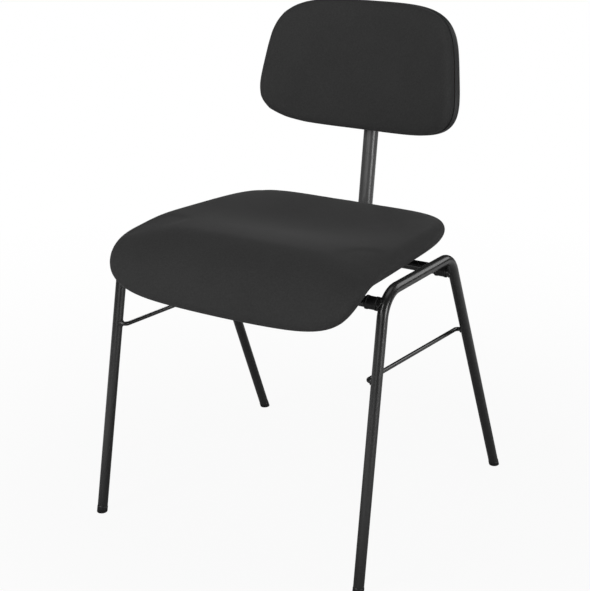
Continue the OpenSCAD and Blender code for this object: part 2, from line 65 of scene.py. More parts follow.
def add(tree, kind, inputs=None, **settings):
    """Adds a node. Each input gets a value, the output that feeds it, or the node
    whose first output feeds it."""
    made = tree.nodes.new(kind)
    for key, value in settings.items():
        setattr(made, key, value)
    for key, value in (inputs or {}).items():
        if isinstance(value, bpy.types.Node):
            value = value.outputs[0]
        if isinstance(value, bpy.types.NodeSocket):
            tree.links.new(value, made.inputs[key])
        else:
            made.inputs[key].default_value = value
    return made


def two_tones(tree, pattern, low, high, dark, pale):
    """Two colours of one finish, mixed as a pattern's value goes from low to high."""
    share = add(tree, "ShaderNodeMapRange", {0: pattern, 1: low, 2: high})
    mixed = add(tree, "ShaderNodeMix", {0: share, 6: linear(dark), 7: linear(pale)}, data_type="RGBA")
    return mixed.outputs[2]


def new_material(name):
    mat = bpy.data.materials.new(name)
    mat.use_nodes = True
    mat.node_tree.nodes.clear()
    return mat, mat.node_tree


def softbox(name, at, width, height, watts):
    """A rectangular lamp that looks at the middle of the chair."""
    lamp = bpy.data.lights.new(name, "AREA")
    lamp.shape = "RECTANGLE"
    lamp.size, lamp.size_y, lamp.energy = width, height, watts
    holder = bpy.data.objects.new(name, lamp)
    holder.location = at
    holder.rotation_euler = (LAMP_AIM - Vector(at)).to_track_quat("-Z", "Y").to_euler()
    scene.collection.objects.link(holder)


LAMP_AIM = Vector((0, 0, 0.45))
softbox("key_front_left", (-0.85, -2.35, 1.75), 1.1, 1.5, watts=48)
softbox("fill_front_low", (0.5, -2.7, 0.8), 1.4, 1.0, watts=7)
softbox("side_right_low", (2.4, -0.3, 0.7), 0.9, 1.1, watts=22)
softbox("top", (0.0, 0.1, 2.7), 1.6, 1.6, watts=8)
softbox("rim_rear_right", (1.3, 2.1, 1.5), 1.4, 1.6, watts=16)
softbox("rim_rear_left", (-1.8, 1.8, 1.4), 1.0, 1.4, watts=12)


def make_world():
    """Faint even light. The camera itself sees white."""
    world = bpy.data.worlds.new("studio")
    world.use_nodes = True
    tree = world.node_tree
    tree.nodes.clear()
    seen = add(tree, "ShaderNodeLightPath").outputs["Is Camera Ray"]
    light = add(tree, "ShaderNodeBackground", {"Color": linear("#ffffff"), "Strength": 0.04})
    white = add(tree, "ShaderNodeBackground", {"Color": linear("#ffffff"), "Strength": 1.0})
    mixed = add(tree, "ShaderNodeMixShader", {0: seen, 1: light, 2: white})
    add(tree, "ShaderNodeOutputWorld", {"Surface": mixed})
    scene.world = world


make_world()

FLOOR_HALF = 6.0
SHADE_PAINT_WITHIN, PALE_FROM = 0.3, 1.2
SHADE_WITHIN, WHITE_FROM, WHITE_SHARE = 0.45, 1.7, 0.94


def make_floor():
    """Studio floor. Its paint is grey round the chair, as painted shade: the lower ends of the
    legs mirror it and less light bounces up onto them, so they look darker. It is white
    further out. The camera sees it almost white, with only a trace of the chair's soft shadow."""
    bm = bmesh.new()
    bmesh.ops.create_grid(bm, x_segments=1, y_segments=1, size=FLOOR_HALF)
    mesh = bpy.data.meshes.new("studio_floor")
    bm.to_mesh(mesh)
    bm.free()
    floor = bpy.data.objects.new("studio_floor", mesh)
    scene.collection.objects.link(floor)
    mat, tree = new_material("studio_floor_paint")
    where = add(tree, "ShaderNodeTexCoord").outputs["Object"]
    away = add(tree, "ShaderNodeVectorMath", {0: where}, operation="LENGTH").outputs["Value"]
    # Painted shade: grey paint round the chair, turning white from PALE_FROM out
    tone = two_tones(tree, away, SHADE_PAINT_WITHIN, PALE_FROM, "#989898", "#ffffff")
    paint = add(tree, "ShaderNodeBsdfDiffuse", {"Color": tone, "Roughness": 0.0})
    glow = add(tree, "ShaderNodeEmission", {"Color": linear("#ffffff"), "Strength": 1.0})
    white = add(tree, "ShaderNodeMapRange",
                {0: away, 1: SHADE_WITHIN, 2: WHITE_FROM, 3: WHITE_SHARE, 4: 1.0})
    seen = add(tree, "ShaderNodeLightPath").outputs["Is Camera Ray"]
    share = add(tree, "ShaderNodeMath", {0: seen, 1: white}, operation="MULTIPLY")
    mixed = add(tree, "ShaderNodeMixShader", {0: share, 1: paint, 2: glow})
    add(tree, "ShaderNodeOutputMaterial", {"Surface": mixed})
    mesh.materials.append(mat)


make_floor()


# Materials

NOISE_LOW, NOISE_HIGH = 0.35, 0.65


def scale_for(millimetres):
    """The Scale of a noise whose features are so many millimetres across."""
    return 1 / (millimetres * MM)


def powder_coat(name, dark, pale, gloss):
    """Black polyester powder coat, baked on steel: satin, with faint orange peel."""
    mat, tree = new_material(name)
    where = add(tree, "ShaderNodeTexCoord").outputs["Object"]
    peel = add(tree, "ShaderNodeTexNoise", {"Vector": where, "Scale": scale_for(1.6), "Detail": 1.0})
    drift = add(tree, "ShaderNodeTexNoise", {"Vector": where, "Scale": scale_for(45), "Detail": 3.0})
    shader = add(tree, "ShaderNodeBsdfPrincipled", {
        "Base Color": two_tones(tree, drift, NOISE_LOW, NOISE_HIGH, dark, pale),
        "Roughness": add(tree, "ShaderNodeMapRange", {0: drift, 3: gloss - 0.03, 4: gloss + 0.05}),
        "Normal": add(tree, "ShaderNodeBump", {"Height": peel, "Distance": 0.02 * MM, "Strength": 0.6}),
        "Specular IOR Level": 0.6})
    add(tree, "ShaderNodeOutputMaterial", {"Surface": shader})
    return mat


def woven_fabric(name, dark, pale):
    """Plain-woven polyester upholstery, stretched tight: matt, a fibre haze at the
    edges. Its threads are about 0.6 mm apart and are drawn 1.2 mm apart to show."""
    thread_spacing, thread_height = 1.2 * MM, 0.12 * MM
    mat, tree = new_material(name)
    place = add(tree, "ShaderNodeTexCoord")
    cloth = add(tree, "ShaderNodeSeparateXYZ", {0: place.outputs["UV"]})
    waves = []
    for axis in ("X", "Y"):
        angle = add(tree, "ShaderNodeMath", {0: cloth.outputs[axis], 1: pi / thread_spacing},
                    operation="MULTIPLY")
        waves.append(add(tree, "ShaderNodeMath", {0: angle}, operation="SINE"))
    weave = add(tree, "ShaderNodeMath", {0: waves[0], 1: waves[1]}, operation="MULTIPLY")
    where = place.outputs["Object"]
    yarn = add(tree, "ShaderNodeTexNoise",
               {"Vector": where, "Scale": scale_for(2.4), "Detail": 3.0, "Roughness": 0.6})
    fibre = add(tree, "ShaderNodeTexNoise",
                {"Vector": where, "Scale": scale_for(0.5), "Detail": 2.0, "Roughness": 0.7})
    drift = add(tree, "ShaderNodeTexNoise", {"Vector": where, "Scale": scale_for(70), "Detail": 2.0})
    height = add(tree, "ShaderNodeMath", {0: weave, 1: 0.5, 2: yarn}, operation="MULTIPLY_ADD")
    blend = yarn
    for pattern, share in ((weave, 0.1), (fibre, 0.25), (drift, 0.3)):
        blend = add(tree, "ShaderNodeMath", {0: pattern, 1: share, 2: blend}, operation="MULTIPLY_ADD")
    shader = add(tree, "ShaderNodeBsdfPrincipled", {
        "Base Color": two_tones(tree, blend, 0.25, 1.25, dark, pale),
        "Normal": add(tree, "ShaderNodeBump",
                      {"Height": height, "Distance": thread_height, "Strength": 0.3}),
        "Roughness": 0.9, "Specular IOR Level": 0.05,
        "Sheen Weight": 0.1, "Sheen Roughness": 0.45, "Sheen Tint": linear("#c8c8c8")})
    add(tree, "ShaderNodeOutputMaterial", {"Surface": shader})
    return mat


def moulded_plastic(name, dark, pale, gloss, grain_mm, depth_mm):
    """Injection-moulded black plastic: an even satin with the tool's fine grain."""
    mat, tree = new_material(name)
    where = add(tree, "ShaderNodeTexCoord").outputs["Object"]
    grain = add(tree, "ShaderNodeTexNoise",
                {"Vector": where, "Scale": scale_for(grain_mm), "Detail": 2.0, "Roughness": 0.6})
    drift = add(tree, "ShaderNodeTexNoise", {"Vector": where, "Scale": scale_for(30), "Detail": 2.0})
    shader = add(tree, "ShaderNodeBsdfPrincipled", {
        "Base Color": two_tones(tree, drift, NOISE_LOW, NOISE_HIGH, dark, pale),
        "Roughness": add(tree, "ShaderNodeMapRange", {0: grain, 3: gloss - 0.05, 4: gloss + 0.07}),
        "Normal": add(tree, "ShaderNodeBump",
                      {"Height": grain, "Distance": depth_mm * MM, "Strength": 0.6}),
        "Specular IOR Level": 0.4})
    add(tree, "ShaderNodeOutputMaterial", {"Surface": shader})
    return mat


def beech_plywood(name):
    """Moulded beech plywood, raw: pale pinkish brown with short dark flecks."""
    mat, tree = new_material(name)
    where = add(tree, "ShaderNodeTexCoord").outputs["Object"]
    along = add(tree, "ShaderNodeMapping", {0: where, "Scale": (1.0, 0.12, 1.0)})
    grain = add(tree, "ShaderNodeTexNoise",
                {"Vector": along, "Scale": scale_for(4.0), "Detail": 5.0, "Roughness": 0.6})
    fleck = add(tree, "ShaderNodeTexNoise",
                {"Vector": along, "Scale": scale_for(0.9), "Detail": 2.0, "Roughness": 0.7})
    both = add(tree, "ShaderNodeMath", {0: fleck, 1: 0.4, 2: grain}, operation="MULTIPLY_ADD")
    shader = add(tree, "ShaderNodeBsdfPrincipled", {
        "Base Color": two_tones(tree, both, 0.4, 0.95, "#a67c52", "#d3ad7f"),
        "Normal": add(tree, "ShaderNodeBump", {"Height": fleck, "Distance": 0.05 * MM, "Strength": 0.4}),
        "Roughness": 0.6})
    add(tree, "ShaderNodeOutputMaterial", {"Surface": shader})
    return mat


def zinc_plate(name):
    """Zinc-plated steel: bluish bright metal with a faint turned grain."""
    mat, tree = new_material(name)
    where = add(tree, "ShaderNodeTexCoord").outputs["Object"]
    grain = add(tree, "ShaderNodeTexNoise",
                {"Vector": where, "Scale": scale_for(0.6), "Detail": 3.0, "Roughness": 0.7})
    bloom = add(tree, "ShaderNodeTexNoise", {"Vector": where, "Scale": scale_for(6.0), "Detail": 2.0})
    shader = add(tree, "ShaderNodeBsdfPrincipled", {
        "Base Color": two_tones(tree, bloom, NOISE_LOW, NOISE_HIGH, "#a9acb0", "#c6c8cb"),
        "Roughness": add(tree, "ShaderNodeMapRange", {0: grain, 3: 0.26, 4: 0.42}),
        "Normal": add(tree, "ShaderNodeBump", {"Height": grain, "Distance": 0.01 * MM, "Strength": 0.5}),
        "Metallic": 1.0})
    add(tree, "ShaderNodeOutputMaterial", {"Surface": shader})
    return mat


# The back post has the frame's black coat; its paler copy here is painted light, for the brighter light
# on it
coat = powder_coat("black_powder_coat", "#1f1f1f", "#232323", gloss=0.25)
painted_light_post_coat = powder_coat("black_powder_coat_post_painted_light", "#4c4c4c", "#525252", gloss=0.28)
seat_cloth = woven_fabric("charcoal_weave_seat", "#2d2d2d", "#3c3c3c")
back_cloth = woven_fabric("charcoal_weave_back", "#2d2d2d", "#3c3c3c")
glide_plastic = moulded_plastic("black_polyethylene", "#131314", "#19191a",
                                gloss=0.45, grain_mm=0.8, depth_mm=0.02)
bumper_plastic = moulded_plastic("black_soft_vinyl", "#121213", "#171718",
                                 gloss=0.5, grain_mm=0.8, depth_mm=0.02)
shell_plastic = moulded_plastic("black_polypropylene_shell", "#1b1b1c", "#202021",
                                gloss=0.5, grain_mm=0.7, depth_mm=0.05)
cover_plastic = moulded_plastic("black_polypropylene_sheet", "#191919", "#1e1e1f",
                                gloss=0.58, grain_mm=1.1, depth_mm=0.06)
plywood = beech_plywood("raw_beech_plywood")
zinc = zinc_plate("zinc_plated_steel")


def dress(names, material):
    """Gives CAD nodes their material."""
    for name in names:
        mesh = nodes[name].data
        mesh.materials.clear()
        mesh.materials.append(material)


SIDES = ("left", "right")
ENDS = ("front", "rear")
CORNERS = [f"{e}_{s}" for e in ENDS for s in SIDES]
dress(["left_side_frame", "right_side_frame", "front_cross_tube", "rear_cross_tube",
       "left_brace_rod", "right_brace_rod", "back_plate"], coat)
# The back post's paler coat is painted light
dress(["back_post"], painted_light_post_coat)
dress(["post_front_plug", "post_top_plug"] + [c + "_glide" for c in CORNERS], glide_plastic)
dress([c + "_bumper" for c in CORNERS] + [c + "_spacer" for c in CORNERS], bumper_plastic)
dress(["seat_board", "back_board"], plywood)
dress(["seat_cover"], cover_plastic)
dress(["seat_cushion"], seat_cloth)
dress(["back_cushion"], back_cloth)
dress(["back_shell"], shell_plastic)
dress(["seat_screws", "seat_washers", "seat_t_nuts", "back_screws", "back_washers", "back_t_nuts"], zinc)


# Layout of the chair, from the same driving sizes as its solids

def unit(angle):
    """A direction in the side view, where a place is y, back along the floor, and z, up."""
    return Vector((cos(angle), sin(angle)))


def heading(start, end):
    """The angle of the way from one place in the side view to another."""
    return atan2(end[1] - start[1], end[0] - start[0])


def lift(place):
    """A place in a side frame's tilted plane, as it stands over the floor."""
    return Vector((place[0], place[1] * cos(SPLAY)))


TUBE_R, BEND_R, BORE_R = 8.0, 41.0, 6.4
RAIL_SPACING, FOOT_SPACING = 451.0, 467.0
FRONT_FOOT, FRONT_CORNER = Vector((-240.9, 0)), Vector((-165.4, 430))
REAR_FOOT, REAR_CORNER = Vector((241.1, 0)), Vector((44.6, 426))
SPLAY = asin((FOOT_SPACING - RAIL_SPACING) / 2 / FRONT_CORNER.y)
FRONT_LEG, REAR_LEG = heading(FRONT_FOOT, FRONT_CORNER), heading(REAR_FOOT, REAR_CORNER)
RAIL = heading(FRONT_CORNER, REAR_CORNER)
FRONT_TURN, REAR_TURN = FRONT_LEG - RAIL, RAIL + pi - REAR_LEG
FRONT_JOINT_SHARE, REAR_JOINT_BELOW = 1 / 3, 5.0
FRONT_JOINT_LEAN = FRONT_LEG - FRONT_JOINT_SHARE * FRONT_TURN
FRONT_JOINT = (FRONT_CORNER - BEND_R * tan(FRONT_TURN / 2) * unit(FRONT_LEG)
               + BEND_R * (unit(FRONT_LEG - pi / 2) + unit(FRONT_JOINT_LEAN + pi / 2)))
REAR_JOINT = REAR_CORNER - (BEND_R * tan(REAR_TURN / 2) + REAR_JOINT_BELOW) * unit(REAR_LEG)
FRONT_CROSS, REAR_CROSS = lift(FRONT_JOINT), lift(REAR_JOINT)
CROSS_ANGLE, CROSS_GAP = heading(REAR_CROSS, FRONT_CROSS), (FRONT_CROSS - REAR_CROSS).length
ROD_R, ROD_FRONT_SHARE, ROD_REAR_SHARE = 3.25, 0.713, 0.677
ROD_FRONT = FRONT_FOOT.lerp(FRONT_CORNER, ROD_FRONT_SHARE)
ROD_REAR = REAR_FOOT.lerp(REAR_CORNER, ROD_REAR_SHARE)

SEAT_T, SEAT_OVERHANG, FRONT_SPACER, REAR_SPACER = 37.6, 96.0, 9.8, 17.0
SEAT_UNDER = SEAT_T / 2
SPACER_TILT = asin((FRONT_SPACER - REAR_SPACER) / CROSS_GAP)
SEAT_SLOPE = pi - CROSS_ANGLE + SPACER_TILT
SEAT_REAR = (REAR_CROSS + (TUBE_R + REAR_SPACER + SEAT_UNDER) * Vector((sin(SEAT_SLOPE), cos(SEAT_SLOPE)))
             + SEAT_OVERHANG * Vector((cos(SEAT_SLOPE), -sin(SEAT_SLOPE))))

POST_R, POST_WALL, POST_LEAN, POST_SETBACK = 12.0, 2.0, radians(7.5), 127.0
POST_FRONT_REACH, BACK_UP, POST_TOP_REACH = 13.0, 299.0, 62.0
PLATE_W, PLATE_H, PLATE_T, BACK_T = 84.0, 96.0, 3.5, 27.0
POST_DROP = (TUBE_R + POST_R) * unit(CROSS_ANGLE + pi / 2)
POST_CORNER = REAR_CROSS + POST_DROP - POST_SETBACK * unit(CROSS_ANGLE)
POST_UP = unit(pi / 2 - POST_LEAN)
POST_FRONT_END = FRONT_CROSS + POST_DROP + POST_FRONT_REACH * unit(CROSS_ANGLE)
POST_TOP_END = POST_CORNER + (BACK_UP + POST_TOP_REACH) * POST_UP
BACK_MID = (POST_CORNER + BACK_UP * POST_UP
            - (POST_R + PLATE_T + BACK_T / 2) * Vector((cos(POST_LEAN), -sin(POST_LEAN))))


def in_frame(side, across, place):
    """A point of the left (-1) or right (1) side frame, across out from its plane."""
    return Vector((side * (FOOT_SPACING / 2 + across * cos(SPLAY) - place[1] * sin(SPLAY)),
                   place[0], across * sin(SPLAY) + place[1] * cos(SPLAY)))


def out_at(z):
    """How far out the middle of a side frame stands at a height."""
    return FOOT_SPACING / 2 - z * tan(SPLAY)


# Shared shapes

SHARP = radians(38)


def finish_piece(name, bm, material, node=None, recalc=True):
    """Turns a bmesh in millimetres into a piece of the chair, riding on its frame."""
    if recalc:
        bmesh.ops.recalc_face_normals(bm, faces=bm.faces)
    bmesh.ops.scale(bm, vec=(MM, MM, MM), verts=bm.verts)
    for face in bm.faces:
        face.smooth = True
    mesh = bpy.data.meshes.new(name)
    bm.to_mesh(mesh)
    bm.free()
    mesh.set_sharp_from_angle(angle=SHARP)
    mesh.materials.append(material)
    piece = bpy.data.objects.new(name, mesh)
    scene.collection.objects.link(piece)
    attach(piece, "root")
    if node:
        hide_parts(node)
    return piece


def squircle(a, b, n):
    """A place of the square grid, moved onto a rounded outline of squareness n."""
    m = max(abs(a), abs(b))
    if m == 0:
        return 0.0, 0.0
    k = ((abs(a) / m) ** n + (abs(b) / m) ** n) ** (-1 / n)
    return a * k, b * k


def swell(t):
    """Full over the middle of a face, and 0 at its edge."""
    return 1 - t ** 4


def block(cells, rings):
    """A square block whose upper and lower faces have a grid of cells, and whose
    sides have one ring of vertices for each step of an edge profile."""
    bm = bmesh.new()
    bmesh.ops.create_cube(bm, size=2)
    level = [e for e in bm.edges if abs(e.verts[0].co.z - e.verts[1].co.z) < 0.1]
    bmesh.ops.subdivide_edges(bm, edges=level, cuts=cells - 1, use_grid_fill=True)
    upright = [e for e in bm.edges if abs(e.verts[0].co.z - e.verts[1].co.z) > 0.1]
    bmesh.ops.subdivide_edges(bm, edges=upright, cuts=rings - 2, use_grid_fill=True)
    return bm


def shape_block(cells, profile, place):
    """Moves a block's vertices: profile lists (inset, height) from the rim of the
    upper face round the edge to the rim of the lower one, and place(a, b, inset,
    height, face) gives each point. face is 1 on the upper, -1 on the lower face."""
    bm = block(cells, len(profile))
    ring_of = {}
    for v in bm.verts:
        a, b, c = v.co
        ring = round((1 - c) / 2 * (len(profile) - 1))
        face = 1 if ring == 0 else -1 if ring == len(profile) - 1 else 0
        inset, height = profile[ring]
        ring_of[v.index] = (a, b, ring)
        v.co = place(a, b, inset, height, face)
    return bm, ring_of


def arc(centre, radius, start, end, steps):
    """Points of an edge profile on an arc, angles in degrees from the +inset axis."""
    turns = [radians(start + (end - start) * k / steps) for k in range(steps + 1)]
    return [(centre[0] + radius * cos(turn), centre[1] + radius * sin(turn)) for turn in turns]


def ring_of_edges(bm, place, radius, sides):
    made = bmesh.ops.create_circle(bm, segments=sides, radius=radius, matrix=place)["verts"]
    return list({e for v in made for e in v.link_edges})


def turned(bm, profile, place, closed=False, sides=32):
    """A form turned about the Z axis of place, from (radius, height) pairs. A closed
    profile makes a sleeve; an open one is left with its end rims, which it returns."""
    chain = [bmesh.ops.create_vert(bm, co=place @ Vector((r, 0, h)))["vert"][0] for r, h in profile]
    pairs = list(zip(chain, chain[1:] + chain[:1] if closed else chain[1:]))
    edges = [bmesh.ops.contextual_create(bm, geom=pair)["edges"][0] for pair in pairs]
    bmesh.ops.spin(bm, geom=chain + edges, cent=place.translation, axis=place.col[2].xyz,
                   angle=2 * pi, steps=sides, use_merge=True)
    return [e for e in bm.edges if e.is_boundary]


def bar(bm, points, radius, closed=False, sides=12):
    """A round bar along points. radius(share) is its size at a share of its way.
    Each ring takes over the turn of the one before, so that the bar isn't twisted."""
    last = len(points) - 1
    loops = []
    across = None
    for i, point in enumerate(points):
        ahead = points[(i + 1) % (last + 1)] if closed or i < last else point
        behind = points[i - 1] if closed or i else point
        along = (ahead - behind).normalized()
        across = across or along.orthogonal()
        across = (across - across.dot(along) * along).normalized()
        place = Matrix((across, along.cross(across), along)).transposed().to_4x4()
        place.translation = point
        loops.append(ring_of_edges(bm, place, radius(i / last), sides))
    for near, far in zip(loops, loops[1:]):
        bmesh.ops.bridge_loops(bm, edges=near + far)
    if closed:
        bmesh.ops.bridge_loops(bm, edges=loops[-1] + loops[0])
    else:
        bmesh.ops.contextual_create(bm, geom=loops[0])
        bmesh.ops.contextual_create(bm, geom=loops[-1])


def bent(corners, radius, steps=18):
    """Places along straight runs joined by bends, in the side view."""
    path = [corners[0]]
    for before, corner, after in zip(corners, corners[1:], corners[2:]):
        start = heading(before, corner)
        turn = heading(corner, after) - start
        turn = (turn + pi) % (2 * pi) - pi
        hand = pi / 2 if turn > 0 else -pi / 2
        centre = corner - radius * tan(abs(turn) / 2) * unit(start) + radius * unit(start + hand)
        path += [centre + radius * unit(start - hand + turn * k / steps) for k in range(steps + 1)]
    return path + [corners[-1]]


def stand(at, axis):
    """A place whose +Z looks along axis."""
    return Matrix.Translation(Vector(at)) @ Vector(axis).to_track_quat("Z", "Y").to_matrix().to_4x4()


# Seat

SEAT_W_REAR, SEAT_W_FRONT = 381.0, 447.0
SEAT_FLAT, ROLL_R, ROLL_ANGLE, LIP = 310.0, 74.0, radians(70), 31.0
SEAT_EDGE_R, UNDER_ROUND = 15.0, 1.11
SEAT_BOW, SEAT_CROWN, SEAT_DISH, SEAT_SQUARE = 9.0, 2.0, 15.0, 6.0
SHOULDER_DROP, SHOULDER_AHEAD, SHOULDER_SPREAD, SHOULDER_POWER = 11.0, 20.0, 48.0, 5.5
BOARD_INSET, BOARD_TOP, BOARD_LOW = 24.0, -4.8, -16.8
ROLL_LEN = ROLL_R * ROLL_ANGLE
SEAT_LEN = SEAT_FLAT + ROLL_LEN + LIP


def seat_local(x, y, z):
    """A point in the seat's own frame, y ahead negative, as it stands."""
    return Vector((x, SEAT_REAR[0] + y * cos(SEAT_SLOPE) + z * sin(SEAT_SLOPE),
                   SEAT_REAR[1] - y * sin(SEAT_SLOPE) + z * cos(SEAT_SLOPE)))


def seat_at(x, s, h):
    """A point s in from the seat's rear edge, h above its middle layer."""
    turned_by = min(max(s - SEAT_FLAT, 0) / ROLL_LEN, 1) * ROLL_ANGLE
    lip = max(s - SEAT_FLAT - ROLL_LEN, 0)
    y = -min(s, SEAT_FLAT) - (ROLL_R + h) * sin(turned_by) - lip * cos(turned_by)
    z = h - (ROLL_R + h) * (1 - cos(turned_by)) - lip * sin(turned_by)
    return seat_local(x, y, z)


def seat_map(a, b, inset):
    """Where a grid place lies on the flat cut of the seat: x, and s from the rear."""
    p = squircle(a, b, SEAT_SQUARE)
    bow = SEAT_BOW * p[0] * p[0] * max(-p[1], 0)
    s = SEAT_LEN / 2 - p[1] * (SEAT_LEN / 2 - inset) - bow
    half = (SEAT_W_REAR + (SEAT_W_FRONT - SEAT_W_REAR) * s / SEAT_LEN) / 2
    return p[0] * (half - inset), s


def seat_fall(across, s, h):
    """How far the shoulders fall away where the front roll begins."""
    off = (s - SEAT_FLAT - SHOULDER_AHEAD) / SHOULDER_SPREAD
    share = max(h - BOARD_TOP, 0) / (SEAT_UNDER - BOARD_TOP)
    return SHOULDER_DROP * share * abs(across) ** SHOULDER_POWER * exp(-off * off)


def seat_relief(a, b, across, s):
    """The upper face is crowned, and dished behind its front roll."""
    dish = SEAT_DISH * (1 - across * across) * sin(pi * min(max(s / SEAT_FLAT, 0), 1)) ** 2
    return SEAT_CROWN * swell(a) * swell(b) - dish


def seat_place(a, b, inset, height, face):
    """The seat's form, from a grid place, an inset from its edge and a height."""
    x, s = seat_map(a, b, inset)
    across = squircle(a, b, SEAT_SQUARE)[0]
    rise = seat_relief(a, b, across, s) if face == 1 else 0
    return seat_at(x, s, height + rise - seat_fall(across, s, height + rise))


SIDEWAYS = 5


def cloth_map(bm, ring_of, profile, flat):
    """Writes the UV map in metres, as the fabric lies: flat on the upper face, and
    running on over the edge by the length of the profile. It runs straight out over
    each side, and turns at the corners only, the sharper the higher SIDEWAYS is."""
    travel = [0.0]
    for p, q in zip(profile, profile[1:]):
        travel.append(travel[-1] + hypot(q[0] - p[0], q[1] - p[1]))
    uv = bm.loops.layers.uv.new("cloth")
    for face in bm.faces:
        for loop in face.loops:
            a, b, ring = ring_of[loop.vert.index]
            x, s = flat(a, b, profile[0][0])
            out = Vector((a ** SIDEWAYS, b ** SIDEWAYS)).normalized() if ring else Vector((0, 0))
            loop[uv].uv = ((x + out.x * travel[ring]) * MM, (-s + out.y * travel[ring]) * MM)


PUFF_FRAMES, PUFF_PRESSURE = 20, 1.2
SEAT_CELLS, COVER_CELLS, BACK_CELLS, SHELL_CELLS = 64, 36, 56, 104
EDGE_STEPS, SIDE_STEPS, HELD_RINGS, BOARD_GAP = 6, 8, 4, 0.3


def puff(piece, held, cap_mm):
    """Blows a pad up against its own fabric, no point further than cap_mm."""
    rest = [v.co.copy() for v in piece.data.vertices]
    group = piece.vertex_groups.new(name="held")
    group.add(held, 1.0, "REPLACE")
    cloth = piece.modifiers.new("cloth", "CLOTH")
    cloth.settings.quality = 5
    cloth.settings.mass = 0.3
    cloth.settings.tension_stiffness = cloth.settings.compression_stiffness = 40
    cloth.settings.shear_stiffness = 20
    cloth.settings.bending_stiffness = 4
    cloth.settings.vertex_group_mass = "held"
    cloth.settings.use_pressure = True
    cloth.settings.uniform_pressure_force = PUFF_PRESSURE
    cloth.settings.effector_weights.gravity = 0
    cloth.collision_settings.use_collision = False
    cloth.point_cache.frame_start, cloth.point_cache.frame_end = 1, PUFF_FRAMES
    for number in range(1, PUFF_FRAMES + 1):
        scene.frame_set(number)
    solved = piece.evaluated_get(bpy.context.evaluated_depsgraph_get())
    moved = [v.co.copy() for v in solved.data.vertices]
    piece.modifiers.remove(cloth)
    piece.vertex_groups.remove(group)
    scene.frame_set(1)
    cap = cap_mm * MM
    for v, start, end in zip(piece.data.vertices, rest, moved):
        step = end - start
        if step.length > 1e-9:
            v.co = start + step * (cap * tanh(step.length / cap) / step.length)


def make_pad(name, cells, profile, place, flat, fabric, puff_mm):
    """A padded piece, closed where it lies on its board. Its fabric is held there, and
    puffed up a little everywhere else."""
    bm, ring_of = shape_block(cells, profile, place)
    cloth_map(bm, ring_of, profile, flat)
    held = [i for i, (a, b, ring) in ring_of.items() if ring >= len(profile) - HELD_RINGS]
    pad = finish_piece(name, bm, fabric, recalc=False)
    puff(pad, held, puff_mm)
    soften = pad.modifiers.new("soften", "SUBSURF")
    soften.levels = soften.render_levels = 1
    return pad


def make_seat_pad():
    """Its side runs in under the seat in one even curve, down to the fabric's hem."""
    top, drop = SEAT_UNDER, 2 * SEAT_UNDER - SEAT_EDGE_R
    profile = arc((SEAT_EDGE_R, top - SEAT_EDGE_R), SEAT_EDGE_R, 90, 180, EDGE_STEPS)
    for k in range(1, SIDE_STEPS + 1):
        turn = pi / 2 * k / SIDE_STEPS
        profile.append((BOARD_INSET * (1 - cos(turn) ** UNDER_ROUND),
                        top - SEAT_EDGE_R - drop * sin(turn) ** UNDER_ROUND))
    profile.append((BOARD_INSET, BOARD_TOP + BOARD_GAP))
    pad = make_pad("seat_pad", SEAT_CELLS, profile, seat_place, seat_map,
                   seat_cloth, puff_mm=1.2)
    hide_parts("seat_cushion")


COVER_GAP = 0.4
COVER_RIM, COVER_EDGE = ((0.8, 0.0), (0.0, -0.2)), ((0.0, 0.8), (0.3, 0.25), (0.9, 0.0))


def seat_layer(a, b, inset, height, face):
    """A place in a layer of the seat, which has none of the upper face's relief."""
    return seat_place(a, b, inset, height, 0)


def make_seat_cover():
    """Sheet under the seat, its edge rounded and set just inside the fabric."""
    inset, low = BOARD_INSET + COVER_GAP, -SEAT_UNDER
    profile = [(inset + step, BOARD_LOW + rise) for step, rise in COVER_RIM]
    profile += [(inset + step, low + rise) for step, rise in COVER_EDGE]
    bm, _ = shape_block(COVER_CELLS, profile, seat_layer)
    finish_piece("seat_cover_sheet", bm, cover_plastic, "seat_cover", recalc=False)


# Backrest

BACK_HALF_W, BACK_HALF_H, WRAP_R = 177.0, 102.8, 376.0
BACK_EDGE_R, BACK_FOLD_R, BACK_CROWN, BACK_SQUARE = 12.0, 2.6, 3.0, 3.9
BACK_TAPER, BACK_BOW = 0.1, 0.02
SHELL_WALL, SHELL_INNER_EDGE, SHELL_OUTER_EDGE, SHELL_LAND = 2.5, 0.6, 0.7, 3.0
BACK_BOARD_T, BOSS_RUN = 9.0, 18.0
SHELL_FLOOR = SHELL_WALL - BACK_T / 2
SHELL_FRONT = SHELL_FLOOR + BACK_BOARD_T


def back_local(x, y, z):
    """A point in the backrest's own frame, y away from the sitter, as it stands."""
    return Vector((x, BACK_MID[0] + y * cos(POST_LEAN) + z * sin(POST_LEAN),
                   BACK_MID[1] - y * sin(POST_LEAN) + z * cos(POST_LEAN)))


def back_at(u, z, h):
    """A point u along the wrap from its middle and z up, h in front of its middle layer."""
    angle = u / WRAP_R
    return back_local((WRAP_R - h) * sin(angle), (WRAP_R - h) * cos(angle) - WRAP_R, z)


def back_map(a, b, inset):
    """Where a grid place lies on the backrest laid flat: u along it, and z up."""
    p = squircle(a, b, BACK_SQUARE)
    return (p[0] * (BACK_HALF_W - inset) * (1 - BACK_TAPER * p[1]),
            p[1] * (BACK_HALF_H - inset) * (1 - BACK_BOW * p[0] * p[0]))


def back_flat(a, b, inset):
    """The same place for the cloth map, whose second measure runs down."""
    u, z = back_map(a, b, inset)
    return u, -z


def back_place(a, b, inset, height, face):
    """The backrest's front face is crowned."""
    u, z = back_map(a, b, inset)
    crown = BACK_CROWN * swell(a) * swell(b) if face == 1 else 0
    return back_at(u, z, height + crown)


